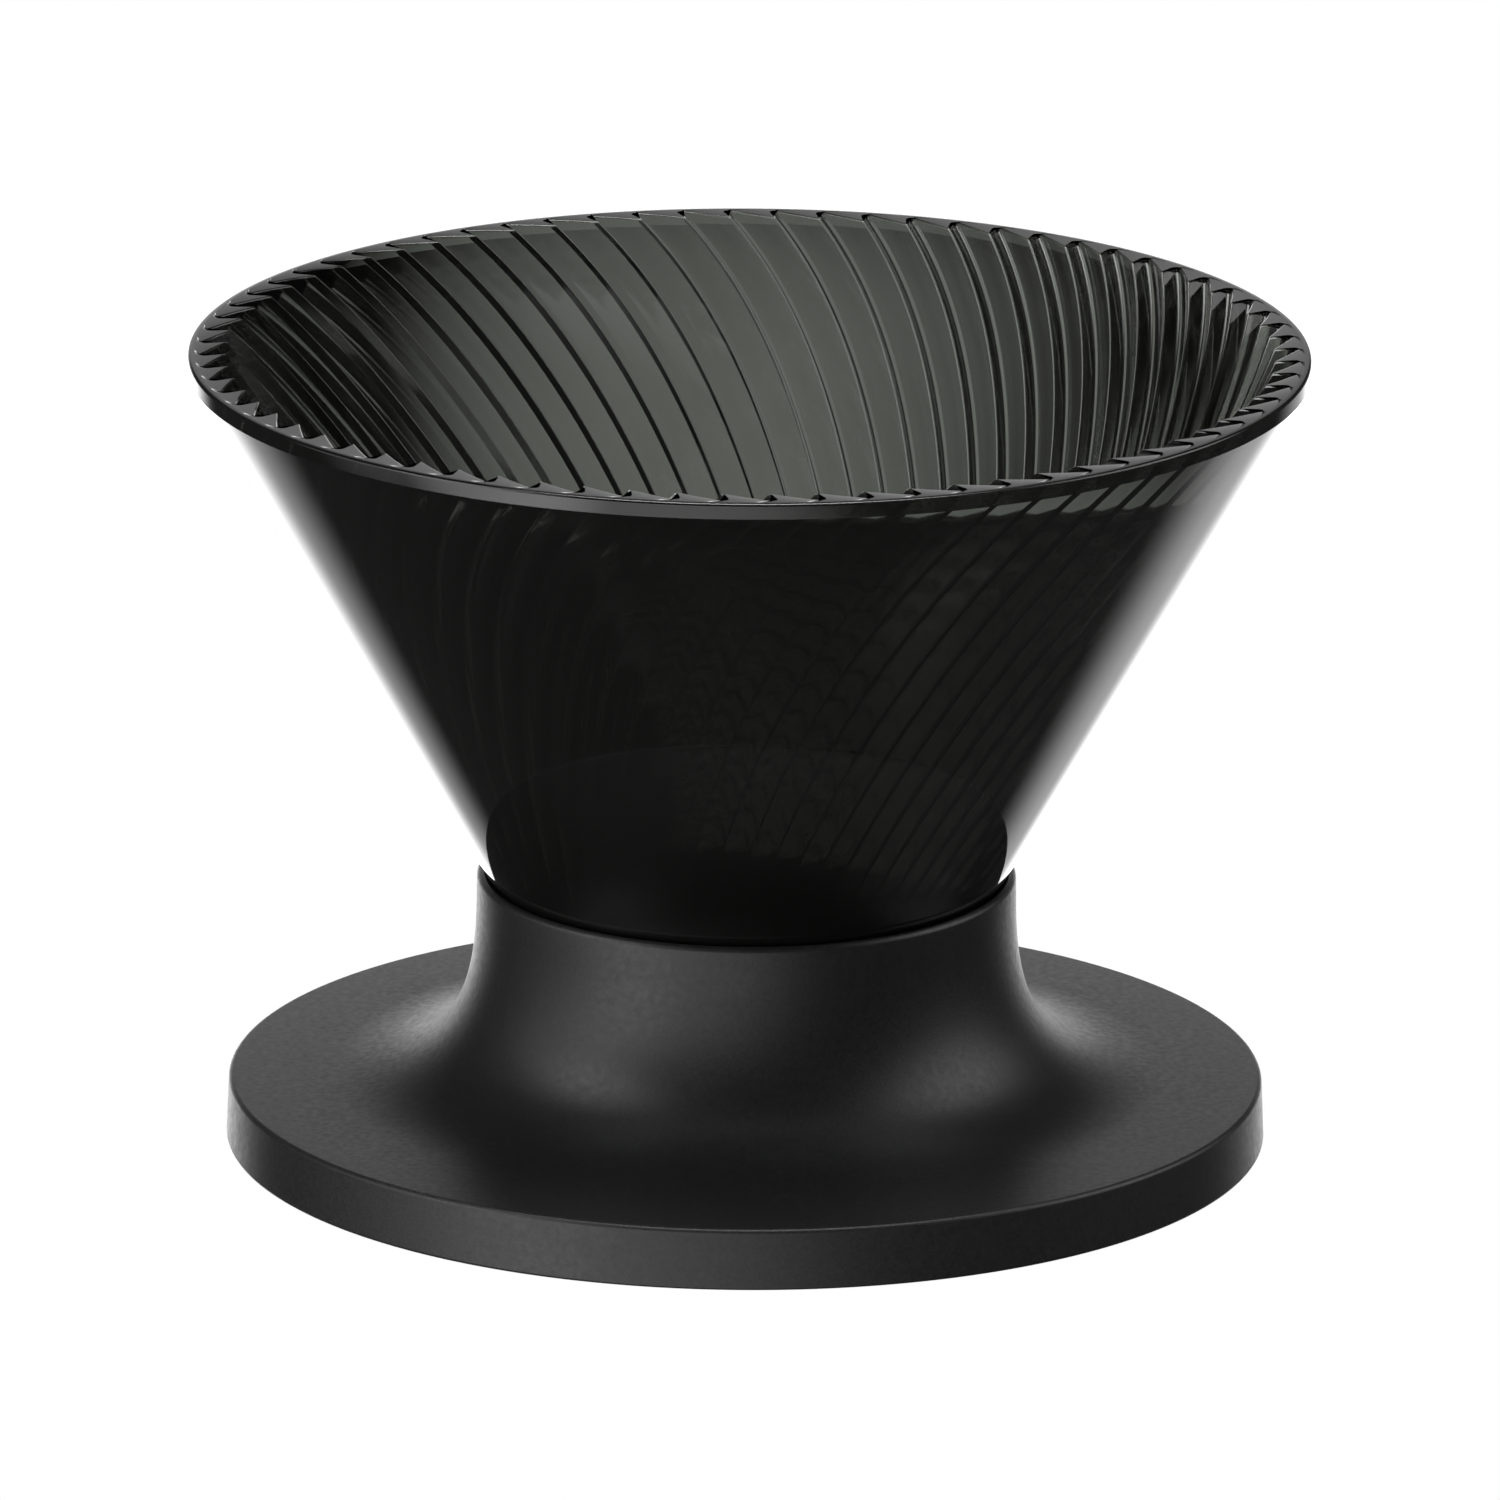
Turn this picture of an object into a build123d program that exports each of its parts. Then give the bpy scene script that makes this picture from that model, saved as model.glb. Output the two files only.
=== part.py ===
from build123d import *
import math
import os

# Pour over dripper: a ribbed cone that drops into a collared base.
# Millimetres and degrees, +Z up, origin at the centre of the base's underside.

# Cone: outer form
rim_height = 84.5            # top of the rim above the surface the base stands on
rim_radius = 58.2
rim_edge_round = 0.2
rim_band = 1.6               # upright band below the rim's top face
cone_half_angle = 29.75
outlet_height = 1.0          # lower end of the cone above the surface
seat_height = 20.0           # flat shoulder that carries the cone in the base
seat_radius = 25.0

# Cone: spiral ribs inside
rim_wall = 1.4               # from the outside of the rim to the grooves between the ribs
rib_count = 72
rib_depth_at_rim = 2.5
rib_depth_at_outlet = 0.4
groove_floor_angle = 0.7     # flat floor of a groove, seen from above
rib_overhang_angle = 0.6     # the steep side of a rib leans this far over its groove
first_rib_angle = 3.0
steady_twist = 0.49          # degrees of turn for each millimetre of height
rim_twist = 0.50             # added turn at the rim, which dies away downwards
rim_twist_reach = 11.0
section_count = 24
section_crowding = 1.3       # sections stand closer together near the rim
section_overrun = 0.5        # the rib sections run past both ends of the cone

# Base: disc, flare and collar
disc_radius = 54.3
disc_top_radius = 54.0
disc_edge_height = 6.45
disc_edge_round = 0.5
flare_foot_radius = 44.0
disc_slope = 0.02            # fall of the disc's top towards its edge
collar_radius = 28.1
collar_height = 28.5
lip_round = 0.6
neck_foot_radius = 28.15
neck_foot_height = 25.9
flare_upper_handle = 12.6
flare_lower_handle = 12.4

# Base: inside
cone_gap = 0.25              # clearance between the cone and the lip
bore_radius = 25.4
ledge_radius = 22.9
ledge_thickness = 2.5
skin = 2.2                   # thickness of the disc's top
skirt_thickness = 2.6
ring_outer_radius = 40.0     # ring under the disc that centres the base on a vessel
ring_inner_radius = 38.2
ring_foot_height = 1.5
inner_flare_handle = 5.0

cone_slope = math.tan(math.radians(cone_half_angle))
band_foot = rim_height - rim_band
cone_length = rim_height - outlet_height


def cone_radius(height):
    """Outside radius of the cone's slope."""
    return rim_radius - (band_foot - height) * cone_slope


def groove_radius(height):
    """Radius of the grooves between the ribs."""
    return rim_radius - rim_wall - (rim_height - height) * cone_slope


def rib_depth(height):
    """How far the ribs stand in from the grooves, tapering towards the outlet."""
    share = (height - outlet_height) / cone_length
    return rib_depth_at_outlet + (rib_depth_at_rim - rib_depth_at_outlet) * share


def rib_turn(height):
    """Turn of the rib pattern at a height, in degrees, zero at the rim."""
    drop = rim_height - height
    fading = rim_twist * rim_twist_reach * (1 - math.exp(-drop / rim_twist_reach))
    return -steady_twist * drop - fading


def polar(radius, angle, height):
    turn = math.radians(angle)
    return Vector(radius * math.cos(turn), radius * math.sin(turn), height)


def rib_section(height):
    """Closed outline of the ribbed inside of the cone at one height."""
    outer = groove_radius(height)
    inner = outer - rib_depth(height)
    points = []
    for number in range(rib_count):
        foot = first_rib_angle + rib_turn(height) + number * 360 / rib_count
        points.append(polar(outer, foot - groove_floor_angle, height))
        points.append(polar(outer, foot, height))
        points.append(polar(inner, foot - rib_overhang_angle, height))
    return Wire.make_polygon(points, close=True)


def ribbed_hollow():
    """The space inside the cone, from below the outlet to above the rim."""
    length = cone_length + 2 * section_overrun
    top = rim_height + section_overrun
    shares = [(step / section_count) ** section_crowding for step in range(section_count + 1)]
    return Solid.make_loft([rib_section(top - length * share) for share in shares])


def revolved(curves):
    """Solid of revolution about Z from curves that close an outline in the XZ plane."""
    edges = [edge for curve in curves for edge in curve.edges()]
    return revolve(make_face(edges), Axis.Z)


def cone_body():
    """Outer form of the cone with its seat shoulder, before it is hollowed."""
    shoulder_top = band_foot - (rim_radius - seat_radius) / cone_slope
    outline = Polyline(
        (0, 0, outlet_height),
        (cone_radius(outlet_height), 0, outlet_height),
        (cone_radius(seat_height), 0, seat_height),
        (seat_radius, 0, seat_height),
        (seat_radius, 0, shoulder_top),
        (rim_radius, 0, band_foot),
        (rim_radius, 0, rim_height - rim_edge_round),
        (rim_radius - rim_edge_round, 0, rim_height),
        (0, 0, rim_height),
        close=True,
    )
    return revolved([outline])


def make_cone():
    return cone_body() - ribbed_hollow()


def base_outside():
    """Outline of the base from its foot, up the disc and flare, to the collar's lip."""
    slope_fall = disc_slope * (disc_top_radius - flare_foot_radius)
    flare_foot = disc_edge_height + slope_fall
    flank_lean = (disc_radius - disc_top_radius) / disc_edge_height
    edge_low = disc_edge_height - disc_edge_round
    side = Line((disc_radius, 0, 0), (disc_radius - flank_lean * edge_low, 0, edge_low))
    edge_in = disc_top_radius - disc_edge_round
    edge_top = disc_edge_height + disc_slope * disc_edge_round
    edge = TangentArc([side @ 1, (edge_in, 0, edge_top)], tangent=side % 1)
    top = Line(edge @ 1, (flare_foot_radius, 0, flare_foot))
    flare = Bezier(
        top @ 1,
        (flare_foot_radius - flare_lower_handle, 0, flare_foot + disc_slope * flare_lower_handle),
        (neck_foot_radius, 0, neck_foot_height - flare_upper_handle),
        (neck_foot_radius, 0, neck_foot_height),
    )
    neck = Line(flare @ 1, (collar_radius, 0, collar_height - lip_round))
    lip = TangentArc([neck @ 1, (collar_radius - lip_round, 0, collar_height)], tangent=neck % 1)
    return [side, edge, top, flare, neck, lip]


def base_inside(start, end):
    """Outline of the base's inside, from the lip down the seat to the underside and the foot."""
    lip_inner = cone_radius(collar_height) + cone_gap
    taper_foot = collar_height - (lip_inner - bore_radius) / cone_slope
    ledge_foot = seat_height - ledge_thickness
    under_disc = disc_edge_height - skin
    skirt_inner = disc_radius - skirt_thickness
    throat = Polyline(
        start,
        (lip_inner, 0, collar_height),
        (bore_radius, 0, taper_foot),
        (bore_radius, 0, seat_height),
        (ledge_radius, 0, seat_height),
        (ledge_radius, 0, ledge_foot),
        (bore_radius, 0, ledge_foot),
    )
    flare = Bezier(
        throat @ 1,
        (bore_radius, 0, ledge_foot - inner_flare_handle),
        (ring_inner_radius - inner_flare_handle, 0, under_disc),
        (ring_inner_radius, 0, under_disc),
    )
    underside = Polyline(
        flare @ 1,
        (ring_inner_radius, 0, ring_foot_height),
        (ring_outer_radius, 0, ring_foot_height),
        (ring_outer_radius, 0, under_disc),
        (skirt_inner, 0, under_disc),
        (skirt_inner, 0, 0),
        end,
    )
    return [throat, flare, underside]


def make_base():
    outside = base_outside()
    inside = base_inside(outside[-1] @ 1, outside[0] @ 0)
    return revolved(outside + inside)


os.makedirs("parts", exist_ok=True)
export_step(make_base(), "parts/base.step")
export_step(make_cone(), "parts/cone.step")
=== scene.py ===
import math

import bpy
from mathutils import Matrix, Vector


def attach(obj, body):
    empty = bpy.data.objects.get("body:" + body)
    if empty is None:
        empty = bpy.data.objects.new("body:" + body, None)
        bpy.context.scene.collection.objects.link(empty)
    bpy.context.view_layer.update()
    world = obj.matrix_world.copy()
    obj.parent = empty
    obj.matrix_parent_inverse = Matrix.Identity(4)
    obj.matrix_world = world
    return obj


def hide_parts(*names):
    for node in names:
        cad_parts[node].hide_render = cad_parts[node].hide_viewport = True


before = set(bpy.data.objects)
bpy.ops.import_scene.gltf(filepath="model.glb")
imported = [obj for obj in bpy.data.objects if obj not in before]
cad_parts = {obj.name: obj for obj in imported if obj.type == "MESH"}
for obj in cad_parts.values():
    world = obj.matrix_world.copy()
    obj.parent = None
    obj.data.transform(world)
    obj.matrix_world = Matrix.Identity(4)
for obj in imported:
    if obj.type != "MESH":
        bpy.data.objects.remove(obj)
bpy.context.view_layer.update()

# Pour over dripper: a ribbed cone of smoke-dark resin in a matte black collared base.
# Lengths are in millimetres and angles in degrees. Points are turned to metres when a mesh is made.

MM = 0.001

# Cone: outer form
RIM_HEIGHT = 84.5
RIM_RADIUS = 58.2
RIM_BAND = 1.6               # upright band below the rim's top face
CONE_HALF_ANGLE = 29.75
OUTLET_HEIGHT = 1.0
SEAT_HEIGHT = 20.0           # flat shoulder that carries the cone in the base
SEAT_RADIUS = 25.0
RIM_EDGE_ROUND = 0.3
BAND_FOOT_ROUND = 0.15
SEAT_ROUND = 0.3
OUTLET_ROUND = 0.25

# Cone: spiral ribs inside
RIM_WALL = 1.4               # from the outside of the rim to the grooves between the ribs
RIB_COUNT = 72
RIB_DEPTH_AT_RIM = 2.5
RIB_DEPTH_AT_OUTLET = 0.4
FIRST_TIP_ANGLE = 2.07
STEADY_TWIST = 0.49          # degrees of turn for each millimetre of height
RIM_TWIST = 0.50             # added turn at the rim, which dies away downwards
RIM_TWIST_REACH = 11.0
SHARP_RIB_DEPTH = 3.18       # a rib's depth at the rim before its tip and groove are rounded
SHARP_GROOVE_LEAN = 0.95     # the unrounded groove lies this many degrees behind the overhanging tip
RIB_TIP_ROUND = 0.2
GROOVE_ROUND = 0.4
RIM_INSIDE_ROUND = 0.2
RIB_ROWS = 84
TIP_STEPS = 3
GROOVE_STEPS = 4
ROW_CROWDING = 1.25          # rows stand closer together near the rim
RIM_INSIDE_STEPS = 3
LONGEST_SIDE = 4.0           # longest side of a mesh face along an outline
CRISPNESS = 50               # how strongly large faces set the shading of the edges beside them

# Base: disc, flare and collar
DISC_RADIUS = 54.3
DISC_TOP_RADIUS = 54.0
DISC_EDGE_HEIGHT = 6.45
DISC_EDGE_ROUND = 0.5
DISC_FOOT_ROUND = 0.35
FLARE_FOOT_RADIUS = 44.0
DISC_SLOPE = 0.02            # fall of the disc's top towards its edge
COLLAR_RADIUS = 28.1
COLLAR_HEIGHT = 28.5
LIP_ROUND = 0.6
LIP_INNER_ROUND = 0.25
NECK_FOOT_RADIUS = 28.15
NECK_FOOT_HEIGHT = 25.9
FLARE_UPPER_HANDLE = 12.6
FLARE_LOWER_HANDLE = 12.4

# Base: inside
CONE_GAP = 0.25              # clearance between the cone and the lip
BORE_RADIUS = 25.4
LEDGE_RADIUS = 22.9
LEDGE_THICKNESS = 2.5
SKIN = 2.2                   # thickness of the disc's top
SKIRT_THICKNESS = 2.6
RING_OUTER_RADIUS = 40.0     # ring under the disc that centres the base on a vessel
RING_INNER_RADIUS = 38.2
RING_FOOT_HEIGHT = 1.5
INNER_FLARE_HANDLE = 5.0
INSIDE_ROUND = 0.3
BASE_COLUMNS = 240
FLARE_STEPS = 40
INNER_FLARE_STEPS = 14

# Smoke resin: noise scales are in waves per metre
RESIN_CLEARNESS = 0.9        # share of the light that passes through, the rest is haze
RESIN_IOR = 1.54
RESIN_TINT_SCALE = 60
RESIN_DARK_TINT = (0.0435, 0.0462, 0.0413)
RESIN_LIGHT_TINT = (0.0465, 0.0492, 0.0443)
RESIN_POLISH_SCALE = 900
RESIN_ROUGHNESS = (0.02, 0.06)

# Black plastic
PLASTIC_IOR = 1.5
PLASTIC_SHADE_SCALE = 2600
PLASTIC_DARK = (0.010, 0.010, 0.0105)
PLASTIC_LIGHT = (0.016, 0.016, 0.0165)
PLASTIC_GLOSS_SCALE = 1400
PLASTIC_ROUGHNESS = (0.36, 0.46)
PLASTIC_GRAIN_SCALE = 4200
PLASTIC_GRAIN_DEPTH = 0.00004    # metres
PLASTIC_GRAIN_STRENGTH = 0.35

# Where the middle part of a noise starts and ends
TINT_SPREAD = (0.35, 0.65)
VALUE_SPREAD = (0.3, 0.7)

# Camera and floor
VIEW_ELEVATION = 16.49       # the camera stands in front of the object and looks down by this angle
VIEW_ROLL = 0.351
VIEW_DISTANCE = 1985.8
VIEW_TARGET = (0.28, 0, 41.5)
VIEW_LENS = 457.7
VIEW_REACH = 20              # metres
FLOOR_HALF = 3.0             # metres

# Soft lights: (azimuth from behind the object towards its right, elevation),
# full radius, faded radius and brightness
SOFT_PANELS = (
    ((-4, -13), 8, 31, 2.3),
    ((2, -27), 22, 40, 1.05),
    ((-159, -27), 5, 45, 1.45),
    ((-129, -8), 6, 25, 2.0),
    ((-103, 8), 8, 32, 1.0),
    ((-115, 32), 8, 23, 2.5),
    ((85, 28), 10, 32, 1.9),
    ((0, 17), 3, 10, 0.3),
    ((0, 88), 8, 28, 7.5),
)
STUDIO_DIM = 0.045           # brightness of the studio between the lights

CONE_SLOPE = math.tan(math.radians(CONE_HALF_ANGLE))
BAND_FOOT = RIM_HEIGHT - RIM_BAND
CONE_LENGTH = RIM_HEIGHT - OUTLET_HEIGHT
RIB_PITCH = 360 / RIB_COUNT


def cone_radius(height):
    """Outside radius of the cone's slope."""
    return RIM_RADIUS - (BAND_FOOT - height) * CONE_SLOPE


def groove_radius(height):
    """Radius of the grooves between the ribs."""
    return RIM_RADIUS - RIM_WALL - (RIM_HEIGHT - height) * CONE_SLOPE


def rib_depth(height):
    """How far the ribs stand in from the grooves, tapering towards the outlet."""
    share = (height - OUTLET_HEIGHT) / CONE_LENGTH
    return RIB_DEPTH_AT_OUTLET + (RIB_DEPTH_AT_RIM - RIB_DEPTH_AT_OUTLET) * share


def rib_turn(height):
    """Turn of the rib pattern at a height, in degrees, zero at the rim."""
    drop = RIM_HEIGHT - height
    fading = RIM_TWIST * RIM_TWIST_REACH * (1 - math.exp(-drop / RIM_TWIST_REACH))
    return -STEADY_TWIST * drop - fading


def rounded_corner(before, corner, after, radius, steps):
    """Points of the arc that rounds a corner between two straight sides."""
    back = (before - corner).normalized()
    ahead = (after - corner).normalized()
    half = back.angle(ahead) / 2
    reach = radius / math.tan(half)
    centre = corner + (back + ahead).normalized() * radius / math.sin(half)
    start = corner + back * reach - centre
    end = corner + ahead * reach - centre
    return [centre + start.slerp(end, step / steps) * radius for step in range(steps + 1)]


def rounded_line(corners):
    """Points of an open line of corners (x, y, radius, steps), with its two ends left as they are."""
    spots = [Vector(corner[:2]) for corner in corners]
    points = [spots[0]]
    for number in range(1, len(corners) - 1):
        radius, steps = corners[number][2:]
        points += rounded_corner(*spots[number - 1:number + 2], radius, steps)
    return points + [spots[-1]]


def split_long_sides(points, longest):
    """The same line with more points on the sides that are longer than longest."""
    line = [points[0]]
    for point in points[1:]:
        start = line[-1]
        parts = math.ceil((point - start).length / longest)
        line += [start.lerp(point, part / parts) for part in range(1, parts + 1)]
    return line


def bezier(start, start_handle, end_handle, end, steps):
    """Points along a cubic curve, without its two ends."""
    points = []
    for step in range(1, steps):
        done = step / steps
        left = 1 - done
        point = Vector(start) * (left * left * left)
        point += Vector(start_handle) * (3 * left * left * done)
        point += Vector(end_handle) * (3 * left * done * done)
        point += Vector(end) * (done * done * done)
        points.append(point)
    return points


def closed_rows_mesh(name, rows, seam_shift=0):
    """Mesh of rings of points, each joined to the next, and the last to the first with a column shift."""
    columns = len(rows[0])
    points = [tuple(value * MM for value in point) for row in rows for point in row]
    faces = []
    for number in range(len(rows)):
        following = (number + 1) % len(rows)
        shift = seam_shift if following == 0 else 0
        for column in range(columns):
            beside = (column + 1) % columns
            faces.append((
                number * columns + column,
                number * columns + beside,
                following * columns + (beside + shift) % columns,
                following * columns + (column + shift) % columns,
            ))
    mesh = bpy.data.meshes.new(name)
    mesh.from_pydata(points, [], faces)
    mesh.shade_smooth()
    piece = bpy.data.objects.new(name, mesh)
    bpy.context.scene.collection.objects.link(piece)
    weighted = piece.modifiers.new("crisp edges", "WEIGHTED_NORMAL")
    weighted.weight = CRISPNESS
    return piece


def tooth_outline():
    """One round-cornered rib, from its tip to the next, as (angle from the tip, share of its depth)."""
    length_per_degree = math.radians(1) * groove_radius(RIM_HEIGHT)
    pitch = RIB_PITCH * length_per_degree
    lean = SHARP_GROOVE_LEAN * length_per_degree
    last_groove = Vector((lean, 0))
    tip = Vector((0, SHARP_RIB_DEPTH))
    groove = Vector((pitch + lean, 0))
    next_tip = Vector((pitch, SHARP_RIB_DEPTH))
    points = rounded_corner(last_groove, tip, groove, RIB_TIP_ROUND, TIP_STEPS)
    points += rounded_corner(tip, groove, next_tip, GROOVE_ROUND, GROOVE_STEPS)
    points.insert(TIP_STEPS + 1, (points[TIP_STEPS] + points[TIP_STEPS + 1]) / 2)
    lowest = min(point.y for point in points)
    deepest = max(point.y for point in points)
    return [(point.x / length_per_degree, (point.y - lowest) / (deepest - lowest)) for point in points]


def ribbed_ring(tooth, height, cut=0):
    """Points of the ribbed inside at a height, moved into the wall by cut."""
    ring = []
    for number in range(RIB_COUNT):
        tip = FIRST_TIP_ANGLE + rib_turn(height) + number * RIB_PITCH
        for angle, share in tooth:
            radius = groove_radius(height) - rib_depth(height) * share
            turn = math.radians(tip + angle)
            ring.append(Vector((radius * math.cos(turn), radius * math.sin(turn))))
    if cut == 0:
        return [(point.x, point.y, height) for point in ring]
    moved = []
    for number, point in enumerate(ring):
        before = (point - ring[number - 1]).normalized()
        after = (ring[(number + 1) % len(ring)] - point).normalized()
        along = (before + after).normalized()
        moved.append(point + Vector((along.y, -along.x)) * cut)
    return [(point.x, point.y, height) for point in moved]


def quarter_round(radius, steps):
    """(rise, cut) pairs of a quarter circle, from its foot to its top."""
    pairs = []
    for step in range(steps + 1):
        turn = math.radians(90 * step / steps)
        pairs.append((radius * math.sin(turn), radius * (1 - math.cos(turn))))
    return pairs


def make_cone():
    """The cone as one closed mesh: up the plain outside to the rim, then down the ribbed inside."""
    tooth = tooth_outline()
    shoulder_top = BAND_FOOT - (RIM_RADIUS - SEAT_RADIUS) / CONE_SLOPE
    outside = rounded_line([
        (groove_radius(OUTLET_HEIGHT) + OUTLET_ROUND, OUTLET_HEIGHT, 0, 0),
        (cone_radius(OUTLET_HEIGHT), OUTLET_HEIGHT, OUTLET_ROUND, 3),
        (cone_radius(SEAT_HEIGHT), SEAT_HEIGHT, SEAT_ROUND, 3),
        (SEAT_RADIUS, SEAT_HEIGHT, SEAT_ROUND, 3),
        (SEAT_RADIUS, shoulder_top, SEAT_ROUND, 2),
        (RIM_RADIUS, BAND_FOOT, BAND_FOOT_ROUND, 2),
        (RIM_RADIUS, RIM_HEIGHT, RIM_EDGE_ROUND, 4),
        (RIM_RADIUS - RIM_WALL / 2, RIM_HEIGHT, 0, 0),
    ])
    columns = len(tooth) * RIB_COUNT
    angles = [math.radians(FIRST_TIP_ANGLE + 360 * column / columns) for column in range(columns)]
    rows = []
    for point in split_long_sides(outside, LONGEST_SIDE):
        rows.append([(point.x * math.cos(angle), point.x * math.sin(angle), point.y) for angle in angles])
    top = RIM_HEIGHT - RIM_INSIDE_ROUND
    for rise, cut in reversed(quarter_round(RIM_INSIDE_ROUND, RIM_INSIDE_STEPS)):
        rows.append(ribbed_ring(tooth, top + rise, cut))
    for step in range(1, RIB_ROWS + 1):
        height = top - (top - OUTLET_HEIGHT) * (step / RIB_ROWS) ** ROW_CROWDING
        rows.append(ribbed_ring(tooth, height))
    turned_teeth = round(rib_turn(OUTLET_HEIGHT) / RIB_PITCH)
    return closed_rows_mesh("cone_resin_body", rows, turned_teeth * len(tooth))


def base_outline():
    """Outline of the base: up the outside to the lip, then down the seat and the underside to the foot."""
    slope_fall = DISC_SLOPE * (DISC_TOP_RADIUS - FLARE_FOOT_RADIUS)
    flare_foot = DISC_EDGE_HEIGHT + slope_fall
    lip_inner = cone_radius(COLLAR_HEIGHT) + CONE_GAP
    taper_foot = COLLAR_HEIGHT - (lip_inner - BORE_RADIUS) / CONE_SLOPE
    ledge_foot = SEAT_HEIGHT - LEDGE_THICKNESS
    under_disc = DISC_EDGE_HEIGHT - SKIN
    skirt_inner = DISC_RADIUS - SKIRT_THICKNESS
    flare = bezier(
        (FLARE_FOOT_RADIUS, flare_foot),
        (FLARE_FOOT_RADIUS - FLARE_LOWER_HANDLE, flare_foot + DISC_SLOPE * FLARE_LOWER_HANDLE),
        (NECK_FOOT_RADIUS, NECK_FOOT_HEIGHT - FLARE_UPPER_HANDLE),
        (NECK_FOOT_RADIUS, NECK_FOOT_HEIGHT),
        FLARE_STEPS,
    )
    under_flare = bezier(
        (BORE_RADIUS, ledge_foot),
        (BORE_RADIUS, ledge_foot - INNER_FLARE_HANDLE),
        (RING_INNER_RADIUS - INNER_FLARE_HANDLE, under_disc),
        (RING_INNER_RADIUS, under_disc),
        INNER_FLARE_STEPS,
    )
    foot = rounded_line([
        (skirt_inner, under_disc, 0, 0),
        (skirt_inner, 0, INSIDE_ROUND, 3),
        (DISC_RADIUS, 0, DISC_FOOT_ROUND, 4),
        (DISC_TOP_RADIUS, DISC_EDGE_HEIGHT, DISC_EDGE_ROUND, 6),
        (FLARE_FOOT_RADIUS, flare_foot, 0, 0),
    ])
    throat = rounded_line([
        (NECK_FOOT_RADIUS, NECK_FOOT_HEIGHT, 0, 0),
        (COLLAR_RADIUS, COLLAR_HEIGHT, LIP_ROUND, 6),
        (lip_inner, COLLAR_HEIGHT, LIP_INNER_ROUND, 3),
        (BORE_RADIUS, taper_foot, INSIDE_ROUND, 2),
        (BORE_RADIUS, SEAT_HEIGHT, INSIDE_ROUND, 2),
        (LEDGE_RADIUS, SEAT_HEIGHT, INSIDE_ROUND, 2),
        (LEDGE_RADIUS, ledge_foot, INSIDE_ROUND, 2),
        (BORE_RADIUS, ledge_foot, 0, 0),
    ])
    ring = rounded_line([
        (RING_INNER_RADIUS, under_disc, 0, 0),
        (RING_INNER_RADIUS, RING_FOOT_HEIGHT, INSIDE_ROUND, 3),
        (RING_OUTER_RADIUS, RING_FOOT_HEIGHT, INSIDE_ROUND, 3),
        (RING_OUTER_RADIUS, under_disc, 0, 0),
    ])
    return foot + flare + throat + under_flare + ring


def make_base():
    """The base as one closed mesh of revolution."""
    outline = base_outline()
    outline.append(outline[0])
    outline = split_long_sides(outline, LONGEST_SIDE)[:-1]
    rows = []
    for point in outline:
        row = []
        for column in range(BASE_COLUMNS):
            turn = math.radians(360 * column / BASE_COLUMNS)
            row.append((point.x * math.cos(turn), point.x * math.sin(turn), point.y))
        rows.append(row)
    return closed_rows_mesh("base_collar_and_disc", rows)


def new_material(name):
    """A material with only a principled shader, its node tree and that shader."""
    material = bpy.data.materials.new(name)
    material.use_nodes = True
    return material, material.node_tree, material.node_tree.nodes["Principled BSDF"]


def noise(tree, scale, detail):
    """Noise fixed to the object, with scale in waves per metre."""
    place = tree.nodes.new("ShaderNodeTexCoord")
    texture = tree.nodes.new("ShaderNodeTexNoise")
    texture.inputs["Scale"].default_value = scale
    texture.inputs["Detail"].default_value = detail
    tree.links.new(place.outputs["Object"], texture.inputs["Vector"])
    return texture.outputs["Fac"]


def ramp(tree, value, low, high):
    """Colours from low to high over the middle part of a noise."""
    blend = tree.nodes.new("ShaderNodeValToRGB")
    for element, place, colour in zip(blend.color_ramp.elements, TINT_SPREAD, (low, high)):
        element.position = place
        element.color = (*colour, 1)
    tree.links.new(value, blend.inputs["Fac"])
    return blend.outputs["Color"]


def spread(tree, value, low, high):
    """A number from low to high over the middle part of a noise."""
    node = tree.nodes.new("ShaderNodeMapRange")
    node.inputs["From Min"].default_value = VALUE_SPREAD[0]
    node.inputs["From Max"].default_value = VALUE_SPREAD[1]
    node.inputs["To Min"].default_value = low
    node.inputs["To Max"].default_value = high
    tree.links.new(value, node.inputs["Value"])
    return node.outputs["Result"]


def bump(tree, height, distance, strength):
    """A bumped normal, with distance in metres."""
    node = tree.nodes.new("ShaderNodeBump")
    node.inputs["Distance"].default_value = distance
    node.inputs["Strength"].default_value = strength
    tree.links.new(height, node.inputs["Height"])
    return node.outputs["Normal"]


def smoke_resin():
    """Glossy translucent resin, smoke grey with a little green, slightly hazy and unevenly polished."""
    material, tree, shader = new_material("smoke resin")
    shader.inputs["Transmission Weight"].default_value = RESIN_CLEARNESS
    shader.inputs["IOR"].default_value = RESIN_IOR
    tint = ramp(tree, noise(tree, RESIN_TINT_SCALE, detail=3), RESIN_DARK_TINT, RESIN_LIGHT_TINT)
    tree.links.new(tint, shader.inputs["Base Color"])
    polish = spread(tree, noise(tree, RESIN_POLISH_SCALE, detail=4), *RESIN_ROUGHNESS)
    tree.links.new(polish, shader.inputs["Roughness"])
    return material


def black_plastic():
    """Matte moulded plastic: near black with a fine spark-eroded grain."""
    material, tree, shader = new_material("black plastic")
    shade = ramp(tree, noise(tree, PLASTIC_SHADE_SCALE, detail=4), PLASTIC_DARK, PLASTIC_LIGHT)
    tree.links.new(shade, shader.inputs["Base Color"])
    shader.inputs["IOR"].default_value = PLASTIC_IOR
    gloss = spread(tree, noise(tree, PLASTIC_GLOSS_SCALE, detail=5), *PLASTIC_ROUGHNESS)
    tree.links.new(gloss, shader.inputs["Roughness"])
    grain = noise(tree, PLASTIC_GRAIN_SCALE, detail=3)
    normal = bump(tree, grain, PLASTIC_GRAIN_DEPTH, PLASTIC_GRAIN_STRENGTH)
    tree.links.new(normal, shader.inputs["Normal"])
    return material


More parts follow.
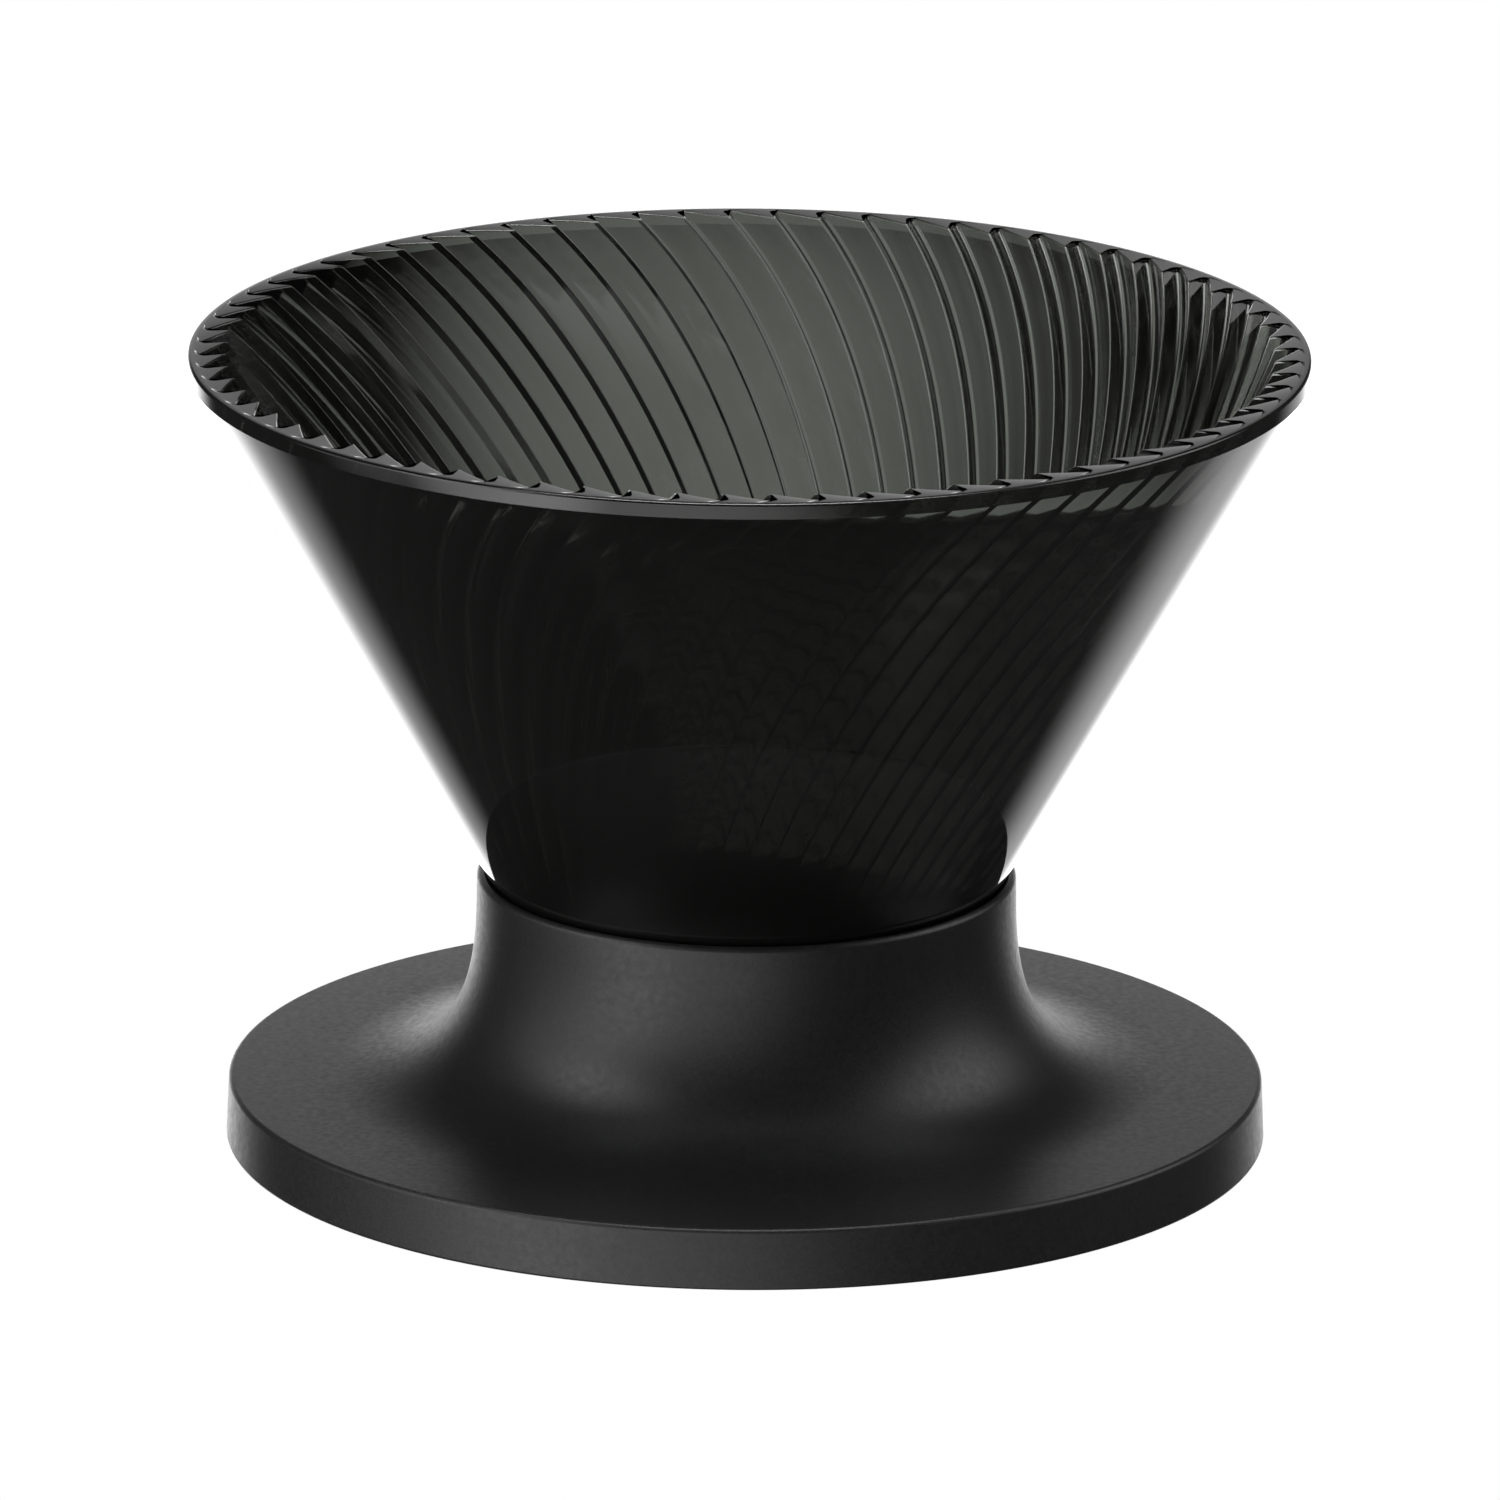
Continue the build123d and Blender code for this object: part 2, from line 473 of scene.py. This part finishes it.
def dress(piece, node, body, material):
    """The piece stands for its CAD node, rides on its body and gets its material."""
    piece.data.materials.append(material)
    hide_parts(node)
    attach(piece, body)


def studio_floor():
    """A plain white floor that the camera sees from above, lit evenly."""
    corners = [(x * FLOOR_HALF, y * FLOOR_HALF, 0) for x, y in ((-1, -1), (1, -1), (1, 1), (-1, 1))]
    mesh = bpy.data.meshes.new("floor")
    mesh.from_pydata(corners, [], [(0, 1, 2, 3)])
    floor = bpy.data.objects.new("floor", mesh)
    bpy.context.scene.collection.objects.link(floor)
    material = bpy.data.materials.new("white floor")
    material.use_nodes = True
    tree = material.node_tree
    tree.nodes.clear()
    output = tree.nodes.new("ShaderNodeOutputMaterial")
    mix = tree.nodes.new("ShaderNodeMixShader")
    side = tree.nodes.new("ShaderNodeNewGeometry")
    white = tree.nodes.new("ShaderNodeEmission")
    clear = tree.nodes.new("ShaderNodeBsdfTransparent")
    tree.links.new(side.outputs["Backfacing"], mix.inputs["Fac"])
    tree.links.new(white.outputs["Emission"], mix.inputs[1])
    tree.links.new(clear.outputs["BSDF"], mix.inputs[2])
    tree.links.new(mix.outputs["Shader"], output.inputs["Surface"])
    mesh.materials.append(material)
    floor.visible_glossy = False
    floor.visible_diffuse = False
    floor.visible_transmission = False
    floor.visible_shadow = False


def soft_step(tree, value, start, end):
    """0 below start, 1 above end and smooth between them."""
    node = tree.nodes.new("ShaderNodeMapRange")
    node.interpolation_type = "SMOOTHSTEP"
    node.inputs["From Min"].default_value = start
    node.inputs["From Max"].default_value = end
    tree.links.new(value, node.inputs["Value"])
    return node.outputs["Result"]


def math_node(tree, operation, first, second):
    """The result of a sum on two sockets or numbers."""
    node = tree.nodes.new("ShaderNodeMath")
    node.operation = operation
    for socket, value in zip(node.inputs, (first, second)):
        if isinstance(value, (int, float)):
            socket.default_value = value
        else:
            tree.links.new(value, socket)
    return node.outputs["Value"]


def soft_panel(tree, direction, towards, full, faded, brightness):
    """A round soft light on the studio's walls, full within one angle and gone at the other."""
    azimuth, elevation = (math.radians(angle) for angle in towards)
    dot = tree.nodes.new("ShaderNodeVectorMath")
    dot.operation = "DOT_PRODUCT"
    dot.inputs[1].default_value = (
        math.sin(azimuth) * math.cos(elevation),
        math.cos(azimuth) * math.cos(elevation),
        math.sin(elevation),
    )
    tree.links.new(direction, dot.inputs[0])
    outer = math.cos(math.radians(faded))
    inner = math.cos(math.radians(full))
    shape = soft_step(tree, dot.outputs["Value"], outer, inner)
    return math_node(tree, "MULTIPLY", shape, brightness)


def studio_light():
    """Soft light from behind, above and both sides. What the camera sees directly is white."""
    world = bpy.data.worlds.new("studio")
    bpy.context.scene.world = world
    world.use_nodes = True
    tree = world.node_tree
    background = tree.nodes["Background"]
    place = tree.nodes.new("ShaderNodeTexCoord")
    total = STUDIO_DIM
    for towards, full, faded, brightness in SOFT_PANELS:
        panel = soft_panel(tree, place.outputs["Generated"], towards, full, faded, brightness)
        total = math_node(tree, "ADD", panel, total)
    path = tree.nodes.new("ShaderNodeLightPath")
    white = tree.nodes.new("ShaderNodeMix")
    tree.links.new(path.outputs["Is Camera Ray"], white.inputs["Factor"])
    tree.links.new(total, white.inputs["A"])
    white.inputs["B"].default_value = 1.0
    tree.links.new(white.outputs["Result"], background.inputs["Color"])


def studio_camera():
    """A long lens in front of the object, looking down on it."""
    camera = bpy.data.objects.new("camera", bpy.data.cameras.new("camera"))
    bpy.context.scene.collection.objects.link(camera)
    bpy.context.scene.camera = camera
    elevation = math.radians(VIEW_ELEVATION)
    back = Vector((0, -math.cos(elevation), math.sin(elevation)))
    camera.location = (Vector(VIEW_TARGET) + back * VIEW_DISTANCE) * MM
    camera.rotation_euler = (math.radians(90 - VIEW_ELEVATION), 0, 0)
    camera.rotation_euler.rotate_axis("Z", math.radians(VIEW_ROLL))
    camera.data.lens = VIEW_LENS
    camera.data.clip_end = VIEW_REACH


dress(make_cone(), "cone", "funnel", smoke_resin())
dress(make_base(), "base", "holder", black_plastic())
studio_floor()
studio_light()
studio_camera()
bpy.context.scene.view_settings.view_transform = "Standard"
